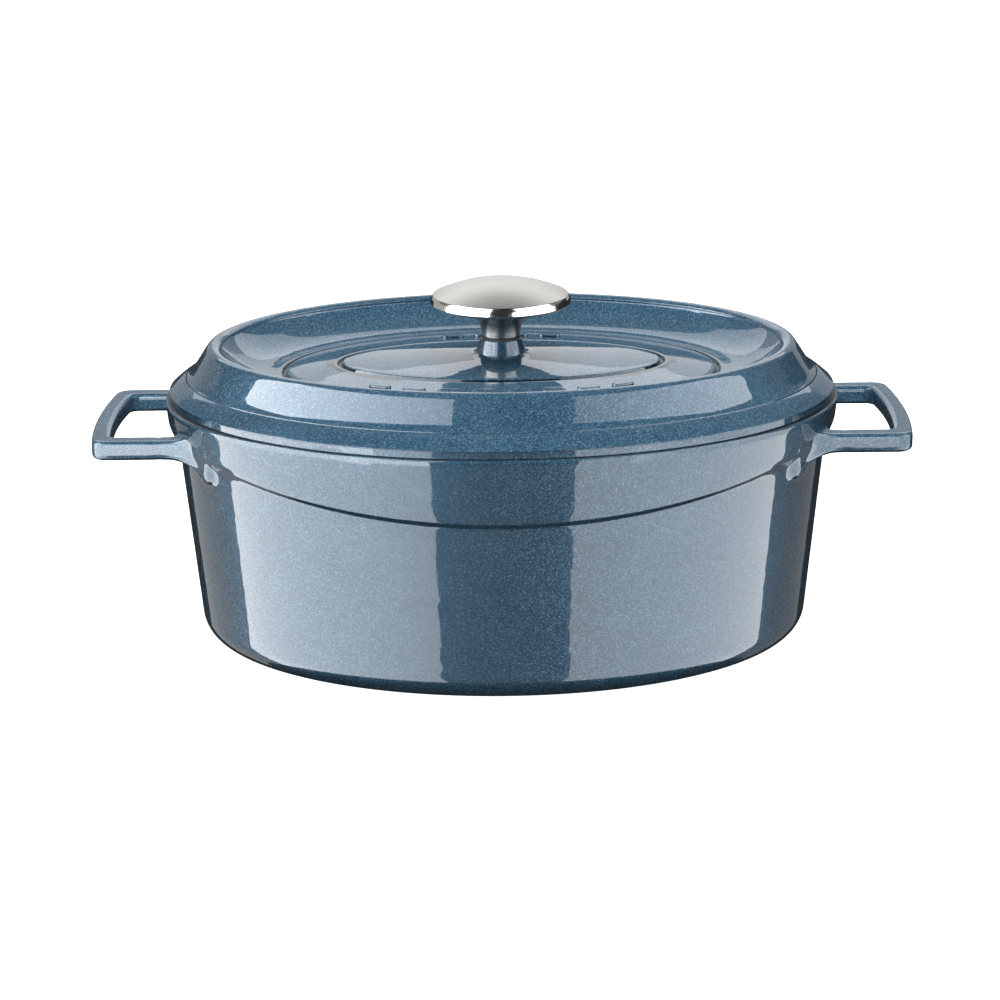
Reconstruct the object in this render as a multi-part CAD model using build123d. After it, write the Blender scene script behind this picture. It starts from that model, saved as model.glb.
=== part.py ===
"""Oval cast iron dutch oven: pot with cast loop handles, dished lid, steel knob and its fasteners.

Millimetres.  +Z is up, +X runs along the oval's long axis through the two handles.
The origin is the centre of the foot, on the surface that the pot stands on.
The pot is modelled closed: a slide along +Z lifts the lid, with its knob, off the rim.
"""
from build123d import *
import math
import os

CUT = 1.0                   # how far blanks and cuts run past the faces that they meet
OPEN_ABOVE = 10.0           # how far the cavity and the dish are cut clear above their edges
LEVEL_TOLERANCE = 0.05      # an edge within this of a height lies at that height
SEAM = 0.01                 # overlap of two blanks that continue each other

# ---- pot wall ---------------------------------------------------------------------------
OVAL_OFFSET = 35.0          # half length minus half width of the pot's ovals
POT_HALF_LENGTH = 138.0     # outside of the wall, drawn down to the foot plane
WALL_DRAFT = 5.45           # degrees, the wall opens upwards
RIM_Z = 112.4               # the lid rests at this height
FOOT_RADIUS = 13.0          # round between wall and underside
RIM_RADIUS = 2.4            # outer edge of the rim
WALL = 4.4                  # casting and enamel together
FLOOR = 5.0
CAVITY_RADIUS = 11.0        # round between wall and floor, inside
FOOT_RING_INSET = 8.0       # flat ring that the pot stands on, inside the foot's round
FOOT_RECESS = 0.8

# ---- raised band under the rim: its lower edge is an arc that climbs towards the handles ----
BAND_PROUD_END = 3.4        # how far it stands out at the handles
BAND_PROUD_SIDE = 1.4       # and at the long sides
BAND_MID_Z = 82.0           # its lower edge at the middle of the long sides
BAND_ARC_RADIUS = 585.0
BAND_BEVEL = 1.0            # bevel along the lower edge

# ---- loop handles -------------------------------------------------------------------------
HANDLE_TOP_Z = 102.7
HANDLE_THICK = 8.7
HANDLE_REACH = 183.8        # outermost point of the bowed bar
HANDLE_CORNER_X = 180.4     # the bar where it meets the arms
ARM_OUTER_Y = 46.4
ARM_WIDTH = 10.0
WINDOW_REACH = 175.4        # finger window, at the middle of the bar
WINDOW_CORNER_X = 173.0
HANDLE_CORNER_RADIUS = 6.0
WINDOW_CORNER_RADIUS = 3.5
HANDLE_EDGE_RADIUS = 1.8
ARM_FLARE_X = (148.0, 129.5)  # the arms widen between these, as they meet the wall
ARM_FLARE_OUT = 11.0
ARM_FLARE_DOWN = 8.0
ARM_FLARE_UP = 6.5
ROOT_X = 112.0              # each handle's blank reaches through the wall to here

# ---- lid ----------------------------------------------------------------------------------
SKIRT_HALF_LENGTH = 149.4
LIP_HALF_LENGTH = 150.2
LIP_Z = 116.7               # underside of the lip, above the skirt
LIP_TOP_Z = 118.8
LIP_RADIUS = 1.2
FLANGE_INNER = (140.6, 122.9)       # half length and height where the flange meets the slope
FLANGE_RADIUS = 4.0
CREST = (131.8, 136.3)              # outer edge of the crest, before its round
CREST_WIDTH = 3.8
CREST_RADIUS = 1.8
DISH_FLAT = (102.5, 72.0, 123.0)    # half length, half width and height of the dish's flat
DISH_SECTIONS = 7
LID_WALL = 4.2
DISH_WALL_ACROSS = 3.15     # thickness of the dish's wall, measured level
FLANGE_WALL_DOWN = 2.94     # thickness of the flange, measured upright
GROOVES = ((99.3, 69.2, 123.0), (74.2, 38.5, 126.3))  # outer edge of each groove, and its height
GROOVE_WIDTH = 2.6
GROOVE_DEPTH = 0.9
STEP_UP = 0.9               # the surface inside each groove stands this much above the outside
BOSS_FOOT_Z = 129.8         # the innermost surface, where it would meet the boss's axis line
BAR_LENGTH = 10.5           # plain raised bars between the two grooves
BAR_WIDTH = 4.6
BAR_BLANK = 2.0             # how far down into the casting a bar is drawn
BAR_PITCH = 15.2
FRONT_BARS = 8
BACK_BARS = 4
BAR_OVAL = (84.5, 52.5)     # the bars stand on this oval
BAR_TOP_Z = (125.6, 125.4)  # their tops, in front and behind
BAR_TILT = 5.0              # degrees, the slope of the surface under them
LOCATING_GAP = 1.2          # between the lid's locating rim and the inside of the pot's wall
LOCATING_DEPTH = 4.0
LOCATING_WIDTH = 4.0
LOCATING_ROUND = 1.0
DRIP_RADIUS = 3.2           # round bumps under the lid, on ovals given as
DRIP_OVALS = ((84.0, 53.0, 120.0, 18),      # half length, half width, height, how many
              (50.0, 26.0, 123.2, 10))

# ---- boss, knob and fasteners ---------------------------------------------------------------
BOSS_RADIUS = 9.6
BOSS_Z = 137.2
BOSS_FILLET = 4.0
PAD_RADIUS = 12.0           # flat pad under the lid, for the washers
PAD_Z = 121.6
HOLE_RADIUS = 3.3           # clearance for the M6 screw
GASKET_RADIUS = 9.0
GASKET_THICK = 0.8
STEM_FOOT_RADIUS = 8.7
STEM_MID = (11.4, 144.6)    # radius and height half-way up the flare
STEM_TOP = (18.0, 151.6)
STEM_SHELL = (0.9, 1.2, 2.4)  # thickness at the foot, half-way and at the top
STEM_FLOOR = 1.6
CAP_UNDER = (30.4, 152.6)
CAP_LOW_EDGE = (31.0, 153.2)
CAP_WIDEST = (31.8, 156.4)
CAP_TOP_EDGE = (31.0, 157.4)
CAP_TOP_Z = 164.2
INSERT_RADIUS = 5.5
INSERT_BORE_DEPTH_Z = 149.6
THREAD_CLEARANCE = 0.05
SCREW_RADIUS = 3.0
SCREW_TIP_Z = 148.0
SCREW_TIP_CHAMFER = 0.75
WASHER_RADIUS = 8.0
WASHER_THICK = 1.5
LOCK_WASHER_RADIUS = 5.6
LOCK_WASHER_THICK = 1.6
LOCK_WASHER_SLIT = 1.2
LOCK_WASHER_SLANT = 30.0    # degrees, the slit's lean
HEAD_RADIUS = 6.0
HEAD_THICK = 3.6
HEAD_ROUND = 1.4
SLOT_WIDTH = 1.6
SLOT_DEPTH = 1.8


def oval_loft(sections, ruled=True):
    """A solid through level ovals, each given as (half length, half width, height)."""
    return loft([Pos(0, 0, z) * Ellipse(a, b) for a, b, z in sections], ruled=ruled)


def pot_section(half_length, z):
    """One section, (half length, half width, height), with the pot's own offset."""
    return (half_length, half_length - OVAL_OFFSET, z)


def wall_half_length(z):
    """Half length of the pot's outside at height z."""
    return POT_HALF_LENGTH + z * math.tan(math.radians(WALL_DRAFT))


def edges_at(solid, z):
    """The edges that lie in the level plane at height z."""
    return solid.edges().filter_by(lambda e: abs(e.bounding_box().min.Z - z) < LEVEL_TOLERANCE
                                   and abs(e.bounding_box().max.Z - z) < LEVEL_TOLERANCE)


def disc(radius, low, high):
    """A round plate about the Z axis."""
    upright = (Align.CENTER, Align.CENTER, Align.MIN)
    return Pos(0, 0, low) * Cylinder(radius, high - low, align=upright)


# ---- the pot --------------------------------------------------------------------------------
def pot_wall():
    """The pot's outside, solid right through."""
    blank = oval_loft([pot_section(wall_half_length(z), z) for z in (0, RIM_Z)])
    return fillet(edges_at(blank, 0), FOOT_RADIUS)


def raised_band():
    """The proud upper part of the wall, above an arc in the XZ plane."""
    sections = []
    for z in (BAND_MID_Z - CUT, RIM_Z):
        a = wall_half_length(z)
        sections.append((a + BAND_PROUD_END, a - OVAL_OFFSET + BAND_PROUD_SIDE, z))
    blank = oval_loft(sections)
    blank = fillet(edges_at(blank, RIM_Z), RIM_RADIUS)
    drum = Rot(90, 0, 0) * Cylinder(BAND_ARC_RADIUS, 2 * HANDLE_REACH)
    band = blank & Pos(0, 0, BAND_MID_Z + BAND_ARC_RADIUS) * drum
    lower = band.edges().filter_by(lambda e: e.bounding_box().max.Z < RIM_Z - 2 * RIM_RADIUS)
    return chamfer(lower, BAND_BEVEL)


def handle_plan():
    """One handle from above, towards +X, with its finger window."""
    y = ARM_OUTER_Y
    start, root = ARM_FLARE_X
    wide = y + ARM_FLARE_OUT
    outline = make_face([
        Polyline((root, -wide), (ROOT_X, -wide), (ROOT_X, wide), (root, wide)),
        TangentArc((start, y), (root, wide), tangent=(-1, 0)),
        Line((start, y), (HANDLE_CORNER_X, y)),
        ThreePointArc((HANDLE_CORNER_X, y), (HANDLE_REACH, 0), (HANDLE_CORNER_X, -y)),
        Line((HANDLE_CORNER_X, -y), (start, -y)),
        TangentArc((start, -y), (root, -wide), tangent=(-1, 0)),
    ])
    corners = outline.vertices().filter_by(lambda v: v.X > WINDOW_REACH)
    outline = fillet(corners, HANDLE_CORNER_RADIUS)
    y -= ARM_WIDTH
    window = make_face([
        Polyline((WINDOW_CORNER_X, -y), (ROOT_X, -y), (ROOT_X, y), (WINDOW_CORNER_X, y)),
        ThreePointArc((WINDOW_CORNER_X, y), (WINDOW_REACH, 0), (WINDOW_CORNER_X, -y)),
    ])
    corners = window.vertices().filter_by(lambda v: v.X > start)
    return outline - fillet(corners, WINDOW_CORNER_RADIUS)


def handle_side():
    """One handle from the side: the arms deepen, above and below, as they meet the wall."""
    start, root = ARM_FLARE_X
    top, bottom = HANDLE_TOP_Z, HANDLE_TOP_Z - HANDLE_THICK
    end = HANDLE_REACH + CUT
    high, low = top + ARM_FLARE_UP, bottom - ARM_FLARE_DOWN
    profile = make_face([
        Polyline((root, low), (ROOT_X, low), (ROOT_X, high), (root, high)),
        TangentArc((start, top), (root, high), tangent=(-1, 0)),
        Polyline((start, top), (end, top), (end, bottom), (start, bottom)),
        TangentArc((start, bottom), (root, low), tangent=(-1, 0)),
    ])
    return Plane.XZ * profile


def handle():
    """One loop handle, towards +X, as a blank that still reaches through the wall."""
    tall = extrude(handle_plan(), amount=2 * RIM_Z)
    deep = extrude(handle_side(), amount=2 * ARM_OUTER_Y, both=True)
    loop = tall & deep
    soft = loop.edges().filter_by(lambda e: e.bounding_box().max.X > ARM_FLARE_X[1] + CUT
                                  and e.length > 2 * HANDLE_CORNER_RADIUS)
    return fillet(soft, HANDLE_EDGE_RADIUS)


def cavity():
    """The space inside the pot, open past the rim."""
    heights = (FLOOR, RIM_Z + OPEN_ABOVE)
    blank = oval_loft([pot_section(wall_half_length(z) - WALL, z) for z in heights])
    return fillet(edges_at(blank, FLOOR), CAVITY_RADIUS)


def pot_body():
    """Wall, band and both handles: one casting."""
    body = pot_wall() + raised_band()
    loop = handle()
    body = body + loop + mirror(loop, about=Plane.YZ)
    inset = FOOT_RADIUS + FOOT_RING_INSET
    recess = pot_section(POT_HALF_LENGTH - inset, 0)
    body -= oval_loft([(*recess[:2], -CUT), (*recess[:2], FOOT_RECESS)])
    return body - cavity()


# ---- the lid --------------------------------------------------------------------------------
def dish_sections(grow=0.0, drop=0.0):
    """The dish's wall: a concave arc from the flat up to the crest, as oval sections."""
    a0, b0, z0 = DISH_FLAT
    a1 = CREST[0] - CREST_WIDTH
    across, rise = a1 - a0, CREST[1] - z0
    sweep = 2 * math.atan2(rise, across)
    sections = []
    for i in range(DISH_SECTIONS):
        angle = sweep * i / (DISH_SECTIONS - 1)
        out = math.sin(angle) / math.sin(sweep)
        up = (1 - math.cos(angle)) / (1 - math.cos(sweep))
        a = a0 + out * across
        b = b0 + out * (a1 - OVAL_OFFSET - b0)
        sections.append((a + grow, b + grow, z0 + up * rise - drop))
    return sections


def lid_outside():
    """Skirt, lip, flange and slope up to the crest, solid right through."""
    skirt = oval_loft([pot_section(SKIRT_HALF_LENGTH, z) for z in (RIM_Z, LIP_Z + CUT)])
    lip = [(LIP_HALF_LENGTH, LIP_Z), (LIP_HALF_LENGTH, LIP_TOP_Z)]
    slope = oval_loft([pot_section(a, z) for a, z in lip + [FLANGE_INNER, CREST]])
    slope = fillet(edges_at(slope, CREST[1]), CREST_RADIUS)
    slope = fillet(edges_at(slope, FLANGE_INNER[1]), FLANGE_RADIUS)
    slope = fillet(edges_at(slope, LIP_TOP_Z), LIP_RADIUS)
    return skirt + slope


def dish():
    """What is taken out of the top: the dish, open upwards."""
    sections = dish_sections()
    a, b, z = sections[-1]
    return oval_loft(sections, ruled=False) + oval_loft([(a, b, z - SEAM), (a, b, z + OPEN_ABOVE)])


def dish_shell():
    """The dish and the casting under it."""
    sections = dish_sections(grow=DISH_WALL_ACROSS, drop=LID_WALL)
    a, b, z = sections[-1]
    return oval_loft(sections, ruled=False) + oval_loft([(a, b, z - SEAM), (a, b, z + OPEN_ABOVE)])


def plateau(index):
    """The raised middle inside one groove, up to the next groove or to the boss."""
    a, b, z = GROOVES[index]
    a, b, z = a - GROOVE_WIDTH, b - GROOVE_WIDTH, z + STEP_UP
    inner = GROOVES[1] if index == 0 else (BOSS_RADIUS, BOSS_RADIUS, BOSS_FOOT_Z)
    return oval_loft([(a, b, DISH_FLAT[2] - CUT), (a, b, z), inner])


def groove(index):
    """One oval groove, to be cut."""
    a, b, z = GROOVES[index]
    heights = (z - GROOVE_DEPTH, z + CUT)
    outer = oval_loft([(a, b, h) for h in heights])
    return outer - oval_loft([(a - GROOVE_WIDTH, b - GROOVE_WIDTH, h) for h in heights])


def dome_underside():
    """The space under the plateaus, which keeps the casting even in thickness."""
    a, b, z = DISH_FLAT
    mid_a, mid_b, mid_z = GROOVES[1]
    low = z - LID_WALL
    inset = 2 * LID_WALL
    sections = [(a - inset, b - inset, low - CUT), (a - inset, b - inset, low)]
    sections.append((mid_a - LID_WALL, mid_b - LID_WALL, mid_z - LID_WALL))
    sections.append((PAD_RADIUS, PAD_RADIUS, BOSS_FOOT_Z - LID_WALL))
    return oval_loft(sections)


def locating_rim():
    """The rim under the lid that drops inside the pot and centres the lid."""
    outer = wall_half_length(RIM_Z) - WALL - LOCATING_GAP
    low = RIM_Z - LOCATING_DEPTH
    drawn_in = LOCATING_DEPTH * math.tan(math.radians(WALL_DRAFT))
    ring = oval_loft([pot_section(outer - drawn_in, low), pot_section(outer, RIM_Z + CUT)])
    ring = fillet(edges_at(ring, low), LOCATING_ROUND)
    inner = outer - LOCATING_WIDTH
    return ring - oval_loft([pot_section(inner, z) for z in (low - CUT, RIM_Z + 2 * CUT)])


def bars():
    """Plain raised bars between the grooves, in front of the knob and behind it."""
    blank = extrude(SlotOverall(BAR_LENGTH, BAR_WIDTH), amount=-BAR_BLANK)
    placed = []
    a, b = BAR_OVAL
    for side, count, top in ((-1, FRONT_BARS, BAR_TOP_Z[0]), (1, BACK_BARS, BAR_TOP_Z[1])):
        for i in range(count):
            x = (i - (count - 1) / 2) * BAR_PITCH
            y = side * b * math.sqrt(1 - (x / a) ** 2)
            turn = math.degrees(math.atan2(-x * b ** 2, y * a ** 2))
            placed.append(Pos(x, y, top) * Rot(-side * BAR_TILT, 0, 0) * Rot(0, 0, turn) * blank)
    return placed


def drip_bumps():
    """Round bumps under the lid, from which condensed steam drips back."""
    placed = []
    for a, b, z, count in DRIP_OVALS:
        for i in range(count):
            angle = 2 * math.pi * (i + 0.5) / count
            placed.append(Pos(a * math.cos(angle), b * math.sin(angle), z) * Sphere(DRIP_RADIUS))
    return placed


def slope_underside():
    """The space under the slope, between the locating rim and the dish."""
    land = wall_half_length(RIM_Z) - WALL - LOCATING_GAP
    corners = [(land - LOCATING_WIDTH, RIM_Z - CUT),
               (FLANGE_INNER[0] - LID_WALL, FLANGE_INNER[1] - FLANGE_WALL_DOWN),
               (CREST[0] - LID_WALL, CREST[1] - LID_WALL)]
    return oval_loft([pot_section(a, z) for a, z in corners]) - dish_shell()


def lid():
    """The lid casting."""
    body = lid_outside() - dish()
    for index in range(len(GROOVES)):
        body = body + plateau(index) - groove(index)
    body = body + disc(BOSS_RADIUS, BOSS_FOOT_Z - CUT, BOSS_Z)
    body = fillet(edges_at(body, BOSS_FOOT_Z), BOSS_FILLET)
    body = body + bars() - slope_underside() - dome_underside()
    body = body + locating_rim() + disc(PAD_RADIUS, PAD_Z, BOSS_FOOT_Z - LID_WALL / 2)
    body = body + drip_bumps()
    return body - disc(HOLE_RADIUS, PAD_Z - CUT, BOSS_Z + CUT)


# ---- the knob and its fasteners ---------------------------------------------------------------
def turned(face):
    """A turned piece: a face drawn as (radius, height) in the XZ plane, spun about Z."""
    return revolve(Plane.XZ * face, Axis.Z)


def knob_cap():
    """Slightly crowned round cap with a narrow bevel."""
    return turned(make_face([
        Polyline((0, CAP_TOP_Z), (0, STEM_TOP[1]), STEM_TOP),
        Line(STEM_TOP, CAP_UNDER),
        Line(CAP_UNDER, CAP_LOW_EDGE),
        Line(CAP_LOW_EDGE, CAP_WIDEST),
        Line(CAP_WIDEST, CAP_TOP_EDGE),
        TangentArc((0, CAP_TOP_Z), CAP_TOP_EDGE, tangent=(1, 0)),
    ]))


def knob_stem():
    """Hollow flared stem, with a floor that the gasket meets."""
    foot = BOSS_Z + GASKET_THICK
    mid_r, mid_z = STEM_MID
    top_r, top_z = STEM_TOP
    foot_shell, mid_shell, top_shell = STEM_SHELL
    inner_foot, inner_top = STEM_FOOT_RADIUS - foot_shell, top_r - top_shell
    body = turned(make_face([
        Polyline((0, top_z), (0, foot), (STEM_FOOT_RADIUS, foot)),
        ThreePointArc((STEM_FOOT_RADIUS, foot), STEM_MID, STEM_TOP),
        Line(STEM_TOP, (0, top_z)),
    ]))
    floor = foot + STEM_FLOOR
    inside = turned(make_face([
        Polyline((0, top_z), (0, floor), (inner_foot, floor)),
        ThreePointArc((inner_foot, floor), (mid_r - mid_shell, mid_z), (inner_top, top_z)),
        Line((inner_top, top_z), (0, top_z)),
    ]))
    return body - inside - disc(HOLE_RADIUS, foot - CUT, floor + CUT)


def knob_insert():
    """Threaded bush that stands in the stem, under the cap."""
    low = BOSS_Z + GASKET_THICK + STEM_FLOOR
    bush = disc(INSERT_RADIUS, low, STEM_TOP[1])
    return bush - disc(SCREW_RADIUS + THREAD_CLEARANCE, low - CUT, INSERT_BORE_DEPTH_Z)


def knob_gasket():
    """Thin heat-resistant washer between the boss and the stem."""
    top = BOSS_Z + GASKET_THICK
    return disc(GASKET_RADIUS, BOSS_Z, top) - disc(HOLE_RADIUS, BOSS_Z - CUT, top + CUT)


def flat_washer():
    """Plain washer against the pad under the lid."""
    low = PAD_Z - WASHER_THICK
    return disc(WASHER_RADIUS, low, PAD_Z) - disc(HOLE_RADIUS, low - CUT, PAD_Z + CUT)


def lock_washer():
    """Split spring washer, drawn flattened, under the flat washer."""
    top = PAD_Z - WASHER_THICK
    low = top - LOCK_WASHER_THICK
    ring = disc(LOCK_WASHER_RADIUS, low, top) - disc(HOLE_RADIUS, low - CUT, top + CUT)
    knife = Box(2 * LOCK_WASHER_RADIUS, LOCK_WASHER_SLIT, 4 * LOCK_WASHER_THICK)
    slit = Pos(LOCK_WASHER_RADIUS, 0, (low + top) / 2) * Rot(LOCK_WASHER_SLANT, 0, 0) * knife
    return ring - slit


def knob_screw():
    """M6 pan head screw with one slot, from under the lid up into the bush."""
    top = PAD_Z - WASHER_THICK - LOCK_WASHER_THICK
    low = top - HEAD_THICK
    head = fillet(edges_at(disc(HEAD_RADIUS, low, top), low), HEAD_ROUND)
    slot = Pos(0, 0, low) * Box(2 * (HEAD_RADIUS + CUT), SLOT_WIDTH, 2 * SLOT_DEPTH)
    shank = disc(SCREW_RADIUS, top - CUT, SCREW_TIP_Z)
    shank = chamfer(edges_at(shank, SCREW_TIP_Z), SCREW_TIP_CHAMFER)
    return head + shank - slot


PARTS = {
    "pot_body": pot_body,
    "lid": lid,
    "knob_cap": knob_cap,
    "knob_stem": knob_stem,
    "knob_insert": knob_insert,
    "knob_gasket": knob_gasket,
    "flat_washer": flat_washer,
    "lock_washer": lock_washer,
    "knob_screw": knob_screw,
}


def main():
    os.makedirs("parts", exist_ok=True)
    for name, make in PARTS.items():
        export_step(make(), f"parts/{name}.step")


if __name__ == "__main__":
    main()
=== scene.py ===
"""The looks of an oval cast iron dutch oven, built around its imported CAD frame.

Lengths in the shape functions are millimetres in the frame's own axes (+Z up, +X through the
handles); they are scaled to metres where a mesh is made.
"""
import math

import bpy
import numpy as np
from mathutils import Matrix, Vector


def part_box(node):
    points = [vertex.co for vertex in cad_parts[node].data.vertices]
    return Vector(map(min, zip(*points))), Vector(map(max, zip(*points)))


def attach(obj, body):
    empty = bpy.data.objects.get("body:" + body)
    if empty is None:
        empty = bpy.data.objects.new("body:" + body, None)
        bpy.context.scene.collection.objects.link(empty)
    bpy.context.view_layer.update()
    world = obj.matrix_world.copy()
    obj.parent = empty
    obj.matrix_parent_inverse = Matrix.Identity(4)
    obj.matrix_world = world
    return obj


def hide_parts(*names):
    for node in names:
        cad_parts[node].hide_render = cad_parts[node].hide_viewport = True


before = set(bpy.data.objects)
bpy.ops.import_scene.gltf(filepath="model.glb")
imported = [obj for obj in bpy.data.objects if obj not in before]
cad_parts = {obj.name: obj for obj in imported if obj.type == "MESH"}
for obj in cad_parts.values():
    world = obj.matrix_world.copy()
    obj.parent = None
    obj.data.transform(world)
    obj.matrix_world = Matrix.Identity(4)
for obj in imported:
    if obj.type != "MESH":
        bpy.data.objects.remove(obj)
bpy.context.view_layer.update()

MM = 0.001


def node_box(name):
    """Lowest and highest corner of a CAD node, in millimetres."""
    low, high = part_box(name)
    return np.array(low) / MM, np.array(high) / MM


POT_HIGH, LID_HIGH = node_box("pot_body")[1], node_box("lid")[1]
CAP_LOW, CAP_HIGH = node_box("knob_cap")
STEM_LOW, STEM_HIGH = node_box("knob_stem")
PAD_Z = node_box("flat_washer")[1][2]

# ---- the pot --------------------------------------------------------------------------------
COLUMNS = 480                   # points round each row of both castings
COLUMN_Z = 60.0                 # height of the wall's oval that the columns are spaced on
OVAL_OFFSET = 35.0              # half length less half width, alike at every height
RIM_Z = POT_HIGH[2]
HANDLE_REACH = POT_HIGH[0]
FOOT_HALF_LENGTH = 138.0        # the plain wall's, where its slope would meet the ground
WALL_SLOPE = math.tan(math.radians(5.45))
FOOT_RADIUS = 13.0
FOOT_RING_INSET = 8.0
FOOT_RECESS = 0.8
FOOT_BARE_ROWS = (5, 11)        # first row of quads on the foot ring, and the first past it
WALL, FLOOR = 4.4, 5.0          # thickness
CAVITY_RADIUS = 11.0
CAVITY_ROWS = 22
RIM_ROUND, RIM_INNER_ROUND = 1.3, 1.2
RIM_ROWS, RIM_BARE_FROM = 8, 6  # rows of the rim's outer round, and where on it the bare rim starts
BAND_END, BAND_SIDE = 3.4, 1.4  # how far the band stands out at the ends and at the long sides
BAND_MID_Z = 82.0               # height of the band's lower edge, at the middle of the long sides
BAND_ARC_RADIUS = 585.0         # radius of that edge, which climbs to the handles
STEP_HEIGHT = 3.0               # height of the soft step under the band, at the long sides
STEP_GROWTH = 8.0               # and how much taller it is at the ends
STEP_GROWS_FROM, STEP_GROWS_OVER = 110.0, 40.0
STEP_TOP = 2.0                  # how far above the arc the step ends
STEP_GUESS_Z = 90.0             # height that the search for the step starts from
WALL_ROWS, STEP_ROWS, BAND_ROWS = 46, 8, 7

# ---- the loop handles -----------------------------------------------------------------------
HANDLE_TOP_Z = 102.7
HANDLE_THICK = 8.7
ARM_OUTER, ARM_INNER = 46.4, 36.4
BAR_OUTER_BOW, BAR_INNER_BOW = 3.4, 2.4
WINDOW_REACH = 175.4
CORNER_OUTER, CORNER_INNER = 6.0, 3.5
HANDLE_EDGE = 2.2
FLARE_START, FLARE_LENGTH = 148.0, 18.5
FLARE_OUT, FLARE_DOWN, FLARE_UP = 11.0, 8.0, 8.2
ROOT_BLEND = 4.0                # radius-like width of the fillet between arm and wall
ACROSS, UPRIGHT = 10, 12        # quads across and up each arm, and in its hole in the wall
ARM_RINGS, CORNER_RINGS, BAR_RINGS = 9, 9, 13
HOLE_BELOW = 1                  # wall rows under the step that the hole takes
ROOT_RINGS = 8
ARC_HANDLE = 0.5523             # handle length of the cubic that follows a quarter circle

# how far from an arm's root the quads are evened out, and are drawn onto the smooth union
ROOT_ZONE_X, ROOT_ZONE_Z = 95.0, 55.0
WALL_RELAX, WALL_RELAX_LEAD, WALL_DRAW = 11.0, 1.1, 28.0
ARM_RELAX, ARM_DRAW = 5.0, 1.5
RIM_KEEP = 2.0                  # the strip under the rim where the evening out fades away
SETTLE_ROUNDS = 60

# ---- the lid ----------------------------------------------------------------------------------
LIP_A = LID_HIGH[0]
SKIRT_A = 149.4
SKIRT_TOP_Z = 115.9
BOSS_TOP = LID_HIGH[2]
CREST_Z = 136.3
DISH = (102.5, 72.0, 123.0)     # half length, half width and height of the dish's flat edge
DISH_TOP = (128.0, 93.0)
DISH_ROWS = 26
GROOVES = ((99.3, 69.2, 123.0), (74.2, 38.5, 126.3))
GROOVE_WIDTH, GROOVE_DEPTH, STEP_UP, SHOULDER = 2.6, 1.5, 0.9, 3.2
GROOVE_SHADE_REACH, GROOVE_SHADE_SINK = 0.06, 0.15      # where the glaze is darkened in the grooves, as pooled glaze deepened into painted shade: share of the oval, and depth in it
BOSS_R = 9.3
BOSS_SPREAD = 1.9               # how much wider the boss is at its foot
HOLE_R = 3.3                    # screw hole
BOSS_FOOT_Z = 129.8
BAR_LENGTH, BAR_WIDTH, BAR_RISE, BAR_PITCH = 10.5, 4.6, 1.2, 15.2
BAR_OVAL = (84.5, 52.5)
BAR_ROUND_COUNT = 40
BAR_LEVELS = ((1.0, -0.5), (1.0, 0.0), (0.97, 0.45), (0.9, 0.8), (0.8, 0.96), (0.66, 1.0), (0.3, 1.0))
FRONT_BARS, BACK_BARS = 8, 4
LOCATE_OUTER, LOCATE_WIDTH, LOCATE_DEPTH = 143.1, 4.0, 4.0
BARE_INSIDE, BARE_OUTSIDE = 9, 3        # bare rows on each side of the skirt's inner edge
DRIP_RADIUS, DRIP_COUNT = 3.2, 14
DRIP_TILTS = (-82, -65, -45, -25, -5, 15)
DRIP_OVALS = ((84.0, 53.0, 120.0, 18), (50.0, 26.0, 123.2, 10))

# ---- the knob -----------------------------------------------------------------------------------
LATHE_COUNT = 160
CROWN_R, CROWN_RISE = 30.5, 6.9
CROWN_EDGE, CROWN_ROWS = 0.97, 20       # the crown's rows start at this share of its radius
STEM_HOLE, STEM_FOOT_R, STEM_INSIDE_R = 3.4, 8.2, 7.4
STEM_WAIST_R, STEM_FLARE, STEM_CURVE = 8.7, 9.3, 2.35
STEM_WALL, STEM_WALL_GROWTH, STEM_FLOOR = 1.0, 0.8, 1.7
STEM_ROWS = 24

# ---- looks --------------------------------------------------------------------------------------
GLAZE, BARE, INNER, POOLED_AND_SHADED = 0, 1, 2, 3     # a casting's materials, by their place on it; the last is glaze darkened where it pools, deepened into painted shade
FLAKE_SCALE = 2100.0            # flake cells to the metre
FLAKE_TILT = 0.14
FLAKE_TONES = ((0.0, (0.020, 0.056, 0.098)), (0.55, (0.038, 0.088, 0.142)),
               (0.85, (0.062, 0.130, 0.195)), (1.0, (0.105, 0.195, 0.270)))
STEEL_TONES = ((0.3, (0.60, 0.59, 0.565)), (0.7, (0.72, 0.71, 0.69)))
POOLED_AND_PAINTED_SHADE = 0.2              # how dark the glaze is in the grooves and on the bars' sides: pooled glaze, deepened into painted shade
WORLD_STRENGTH = 0.03
PANEL_RADIUS = 1.7              # metres, like all lengths of the studio
AIM = (0.0, 0.0, 0.06)          # the middle of the object, which the panels and lamps stand round


# ---- mesh helpers -------------------------------------------------------------------------
def even_angles(a, b, count):
    """Ellipse angles that space points evenly along an oval, alike in all four quarters."""
    fine = np.linspace(0, math.pi / 2, 2001)
    speed = np.hypot(a * np.sin(fine), b * np.cos(fine))
    length = np.concatenate([[0], np.cumsum((speed[1:] + speed[:-1]) / 2)])
    quarter = np.interp(np.linspace(0, length[-1], count // 4 + 1), length, fine)
    first, second = quarter[:-1], math.pi - quarter[:0:-1]
    return np.concatenate([first, second, math.pi + first, math.pi + second])


def ring(a, b, z, angles):
    """One closed row of points on an oval; a, b and z may vary round it."""
    z = np.broadcast_to(z, angles.shape)
    return np.column_stack([a * np.cos(angles), b * np.sin(angles), z])


def stack(rings, closed=False):
    """Points and quads of rings joined each to the next; closed also joins last to first."""
    n = len(rings[0])
    k = np.arange(n)
    quads = []
    for r in range(len(rings) if closed else len(rings) - 1):
        low, high = r * n, ((r + 1) % len(rings)) * n
        quads.append(np.column_stack([low + k, low + (k + 1) % n, high + (k + 1) % n, high + k]))
    return np.concatenate(rings), np.concatenate(quads)


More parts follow.
